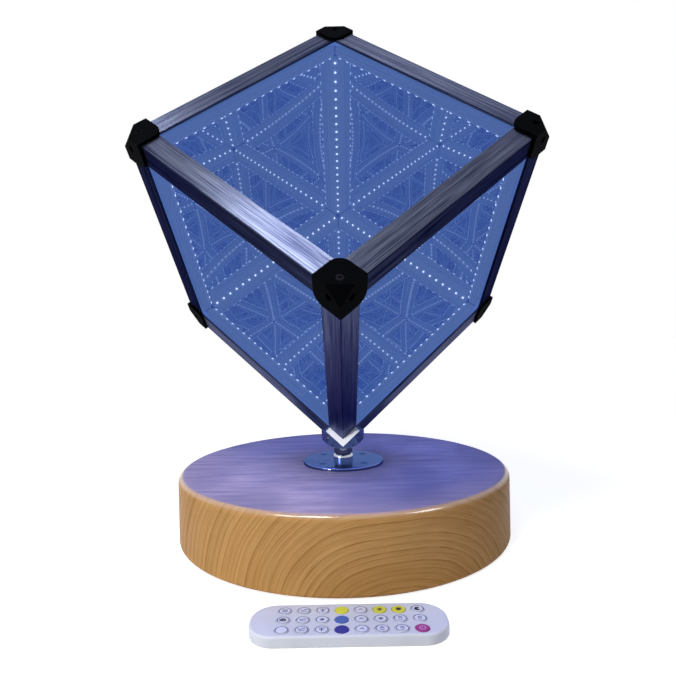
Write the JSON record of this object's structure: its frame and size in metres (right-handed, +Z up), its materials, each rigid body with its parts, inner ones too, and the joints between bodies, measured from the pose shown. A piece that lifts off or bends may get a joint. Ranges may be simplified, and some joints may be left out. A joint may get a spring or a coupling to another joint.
{
  "type": "infinity cube lamp",
  "caption": "Table lamp: a lit cube of two-way mirror panels in an aluminium frame, standing on one corner over a round wooden base, turning on its stem, with a slim remote.",
  "frame": {"origin": "on the floor under the middle of the base, on the stem's axis", "axes": "+Z up along the stem and the cube's body diagonal, front corner of the cube and the remote towards -Y, +X to the right seen from the front"},
  "size_m": [0.2884, 0.3381, 0.4035],
  "materials": {
    "wood": "clear satin lacquer over turned blond wood",
    "chrome": "polished",
    "steel": "zinc plated",
    "brushed_aluminium": "brushed along the length",
    "black_plastic": "fine moulded grain",
    "black_screw": "black oxide",
    "two_way_mirror": "half-silvered on the inside",
    "light_strip": "lit",
    "cover_plastic": "moulded",
    "pad_rubber": "closed-cell foam",
    "lead_rubber": "smooth",
    "circuit_board": "solder resist",
    "remote_white": "satin moulded",
    "key_white": "soft",
    "key_yellow": "soft",
    "key_blue": "soft",
    "key_navy": "soft",
    "key_magenta": "soft"
  },
  "bodies": {
    "base": {"base_block": "wood", "base_cover": "cover_plastic", "base_pad": "pad_rubber", "wood_screws": "steel", "controller_board": "circuit_board", "inner_leads": "lead_rubber", "inlet_plate": "black_plastic", "dc_inlet": "black_plastic", "inlet_nut": "steel", "flange_plate": "chrome", "stem_tube": "chrome", "stem_nuts": "chrome", "stem_ring": "chrome"},
    "cube": {"corner_cradle": "chrome", "cradle_screws": "steel", "corner_blocks": "black_plastic", "top_cap": "black_plastic", "upper_caps": "black_plastic", "lower_caps": "black_plastic", "cap_screws": "black_screw", "lower_rails": "brushed_aluminium", "middle_rails": "brushed_aluminium", "upper_rails": "brushed_aluminium", "light_strips": "light_strip", "panel_upper_front": "two_way_mirror", "panel_upper_right": "two_way_mirror", "panel_upper_left": "two_way_mirror", "panel_lower_back": "two_way_mirror", "panel_lower_left": "two_way_mirror", "panel_lower_right": "two_way_mirror"},
    "remote": {"remote_top": "remote_white", "remote_bottom": "remote_white", "remote_board": "circuit_board"},
    "tray": {"battery_tray": "remote_white", "coin_cell": "steel"},
    "key_1_1": {"key_1_1": "key_white"},
    "key_1_2": {"key_1_2": "key_white"},
    "key_1_3": {"key_1_3": "key_white"},
    "key_1_4": {"key_1_4": "key_yellow"},
    "key_1_5": {"key_1_5": "key_white"},
    "key_1_6": {"key_1_6": "key_yellow"},
    "key_1_7": {"key_1_7": "key_yellow"},
    "key_1_8": {"key_1_8": "key_white"},
    "key_2_1": {"key_2_1": "key_white"},
    "key_2_2": {"key_2_2": "key_white"},
    "key_2_3": {"key_2_3": "key_white"},
    "key_2_4": {"key_2_4": "key_blue"},
    "key_2_5": {"key_2_5": "key_white"},
    "key_2_6": {"key_2_6": "key_white"},
    "key_2_7": {"key_2_7": "key_white"},
    "key_2_8": {"key_2_8": "key_white"},
    "key_3_1": {"key_3_1": "key_white"},
    "key_3_2": {"key_3_2": "key_white"},
    "key_3_3": {"key_3_3": "key_white"},
    "key_3_4": {"key_3_4": "key_navy"},
    "key_3_5": {"key_3_5": "key_white"},
    "key_3_6": {"key_3_6": "key_white"},
    "key_3_7": {"key_3_7": "key_white"},
    "key_3_8": {"key_3_8": "key_magenta"}
  },
  "joints": [
    {"name": "cube_turn", "type": "hinge", "parent": "base", "child": "cube", "pos_m": [0, 0, 0.062], "axis": [0, 0, 1], "range_deg": [-170, 170]},
    {"name": "remote_lift", "type": "slide", "parent": "base", "child": "remote", "axis": [0, 0, 1], "range_m": [0, 0.15]},
    {"name": "tray_slide", "type": "slide", "parent": "remote", "child": "tray", "axis": [-1, 0, 0], "range_m": [0, 0.026]},
    {"name": "key_1_1_press", "type": "slide", "parent": "remote", "child": "key_1_1", "axis": [0, 0, -1], "range_m": [0, 0.0005], "stiffness_N_per_m": 2000},
    {"name": "key_1_2_press", "type": "slide", "parent": "remote", "child": "key_1_2", "axis": [0, 0, -1], "range_m": [0, 0.0005], "stiffness_N_per_m": 2000},
    {"name": "key_1_3_press", "type": "slide", "parent": "remote", "child": "key_1_3", "axis": [0, 0, -1], "range_m": [0, 0.0005], "stiffness_N_per_m": 2000},
    {"name": "key_1_4_press", "type": "slide", "parent": "remote", "child": "key_1_4", "axis": [0, 0, -1], "range_m": [0, 0.0005], "stiffness_N_per_m": 2000},
    {"name": "key_1_5_press", "type": "slide", "parent": "remote", "child": "key_1_5", "axis": [0, 0, -1], "range_m": [0, 0.0005], "stiffness_N_per_m": 2000},
    {"name": "key_1_6_press", "type": "slide", "parent": "remote", "child": "key_1_6", "axis": [0, 0, -1], "range_m": [0, 0.0005], "stiffness_N_per_m": 2000},
    {"name": "key_1_7_press", "type": "slide", "parent": "remote", "child": "key_1_7", "axis": [0, 0, -1], "range_m": [0, 0.0005], "stiffness_N_per_m": 2000},
    {"name": "key_1_8_press", "type": "slide", "parent": "remote", "child": "key_1_8", "axis": [0, 0, -1], "range_m": [0, 0.0005], "stiffness_N_per_m": 2000},
    {"name": "key_2_1_press", "type": "slide", "parent": "remote", "child": "key_2_1", "axis": [0, 0, -1], "range_m": [0, 0.0005], "stiffness_N_per_m": 2000},
    {"name": "key_2_2_press", "type": "slide", "parent": "remote", "child": "key_2_2", "axis": [0, 0, -1], "range_m": [0, 0.0005], "stiffness_N_per_m": 2000},
    {"name": "key_2_3_press", "type": "slide", "parent": "remote", "child": "key_2_3", "axis": [0, 0, -1], "range_m": [0, 0.0005], "stiffness_N_per_m": 2000},
    {"name": "key_2_4_press", "type": "slide", "parent": "remote", "child": "key_2_4", "axis": [0, 0, -1], "range_m": [0, 0.0005], "stiffness_N_per_m": 2000},
    {"name": "key_2_5_press", "type": "slide", "parent": "remote", "child": "key_2_5", "axis": [0, 0, -1], "range_m": [0, 0.0005], "stiffness_N_per_m": 2000},
    {"name": "key_2_6_press", "type": "slide", "parent": "remote", "child": "key_2_6", "axis": [0, 0, -1], "range_m": [0, 0.0005], "stiffness_N_per_m": 2000},
    {"name": "key_2_7_press", "type": "slide", "parent": "remote", "child": "key_2_7", "axis": [0, 0, -1], "range_m": [0, 0.0005], "stiffness_N_per_m": 2000},
    {"name": "key_2_8_press", "type": "slide", "parent": "remote", "child": "key_2_8", "axis": [0, 0, -1], "range_m": [0, 0.0005], "stiffness_N_per_m": 2000},
    {"name": "key_3_1_press", "type": "slide", "parent": "remote", "child": "key_3_1", "axis": [0, 0, -1], "range_m": [0, 0.0005], "stiffness_N_per_m": 2000},
    {"name": "key_3_2_press", "type": "slide", "parent": "remote", "child": "key_3_2", "axis": [0, 0, -1], "range_m": [0, 0.0005], "stiffness_N_per_m": 2000},
    {"name": "key_3_3_press", "type": "slide", "parent": "remote", "child": "key_3_3", "axis": [0, 0, -1], "range_m": [0, 0.0005], "stiffness_N_per_m": 2000},
    {"name": "key_3_4_press", "type": "slide", "parent": "remote", "child": "key_3_4", "axis": [0, 0, -1], "range_m": [0, 0.0005], "stiffness_N_per_m": 2000},
    {"name": "key_3_5_press", "type": "slide", "parent": "remote", "child": "key_3_5", "axis": [0, 0, -1], "range_m": [0, 0.0005], "stiffness_N_per_m": 2000},
    {"name": "key_3_6_press", "type": "slide", "parent": "remote", "child": "key_3_6", "axis": [0, 0, -1], "range_m": [0, 0.0005], "stiffness_N_per_m": 2000},
    {"name": "key_3_7_press", "type": "slide", "parent": "remote", "child": "key_3_7", "axis": [0, 0, -1], "range_m": [0, 0.0005], "stiffness_N_per_m": 2000},
    {"name": "key_3_8_press", "type": "slide", "parent": "remote", "child": "key_3_8", "axis": [0, 0, -1], "range_m": [0, 0.0005], "stiffness_N_per_m": 2000}
  ]
}
